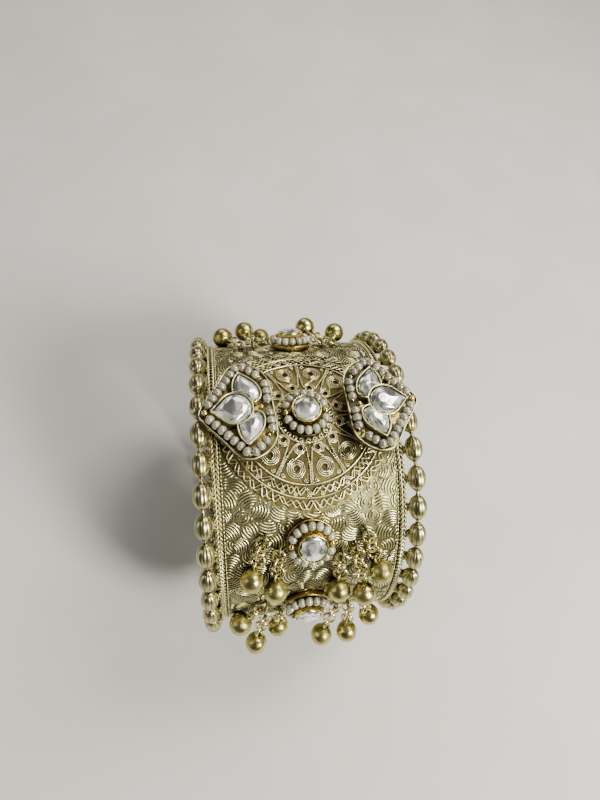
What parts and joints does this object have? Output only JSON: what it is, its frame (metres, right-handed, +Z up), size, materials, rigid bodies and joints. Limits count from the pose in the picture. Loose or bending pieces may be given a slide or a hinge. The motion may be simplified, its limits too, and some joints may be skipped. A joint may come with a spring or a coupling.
{
  "type": "broad brass bangle bracelet with bells",
  "caption": "Broad closed brass bangle with an embossed band, melon-bead rims, a filigree medallion, lotus and round stone settings, seed pearls and small bells on jump rings.",
  "frame": {"origin": "middle of the wrist opening, on its axis", "axes": "+X along the axis of the wrist opening; +Z up, away from the surface it lies on, with the medallion facing it; the front and lower bells lie on the -Y side, the top and back bells on the +Y side"},
  "size_m": [0.044, 0.0774, 0.0711],
  "materials": {
    "embossed_brass": "antique pale gold, embossed, satin",
    "melon_beads": "polished ridges with dark grooves",
    "filigree_wire": "antique pale gold wire",
    "lotus_settings": "bright wire rims over a darkened tray",
    "round_settings": "deep amber-gold lacquer",
    "clear_stones": "clear, foil-backed, polished",
    "seed_pearls": "pearly gloss",
    "bells": "pale gold, lightly worn",
    "jump_rings": "bright drawn wire"
  },
  "bodies": {
    "root": {"band": "embossed_brass", "bead_rim_left": "melon_beads", "bead_rim_right": "melon_beads", "filigree_medallion": "filigree_wire", "centre_setting": "round_settings", "centre_stone": "clear_stones", "centre_pearls": "seed_pearls", "lotus_setting_left": "lotus_settings", "lotus_setting_right": "lotus_settings", "lotus_stone_left_middle": "clear_stones", "lotus_stone_left_upper": "clear_stones", "lotus_stone_left_lower": "clear_stones", "lotus_stone_right_middle": "clear_stones", "lotus_stone_right_upper": "clear_stones", "lotus_stone_right_lower": "clear_stones", "lotus_pearls_left": "seed_pearls", "lotus_pearls_right": "seed_pearls", "round_setting_back": "round_settings", "round_setting_top": "round_settings", "round_setting_front": "round_settings", "round_setting_lower": "round_settings", "round_stone_back": "clear_stones", "round_stone_top": "clear_stones", "round_stone_front": "clear_stones", "round_stone_lower": "clear_stones", "round_pearls_back": "seed_pearls", "round_pearls_top": "seed_pearls", "round_pearls_front": "seed_pearls", "round_pearls_lower": "seed_pearls", "bell_front_left_a": "bells", "bell_front_left_b": "bells", "bell_front_right_a": "bells", "bell_front_right_b": "bells", "bell_front_right_c": "bells", "bell_lower_left_a": "bells", "bell_lower_left_b": "bells", "bell_lower_left_c": "bells", "bell_lower_right_a": "bells", "bell_lower_right_b": "bells", "bell_lower_right_c": "bells", "bell_top_left_a": "bells", "bell_top_left_b": "bells", "bell_top_left_c": "bells", "bell_top_right_a": "bells", "bell_top_right_b": "bells", "bell_back_left_a": "bells", "bell_back_left_b": "bells", "bell_back_left_c": "bells", "bell_back_right_a": "bells", "bell_back_right_b": "bells", "bell_back_right_c": "bells", "jump_rings_front_left": "jump_rings", "jump_rings_front_right": "jump_rings", "jump_rings_lower_left": "jump_rings", "jump_rings_lower_right": "jump_rings", "jump_rings_top_left": "jump_rings", "jump_rings_top_right": "jump_rings", "jump_rings_back_left": "jump_rings", "jump_rings_back_right": "jump_rings"}
  },
  "joints": []
}
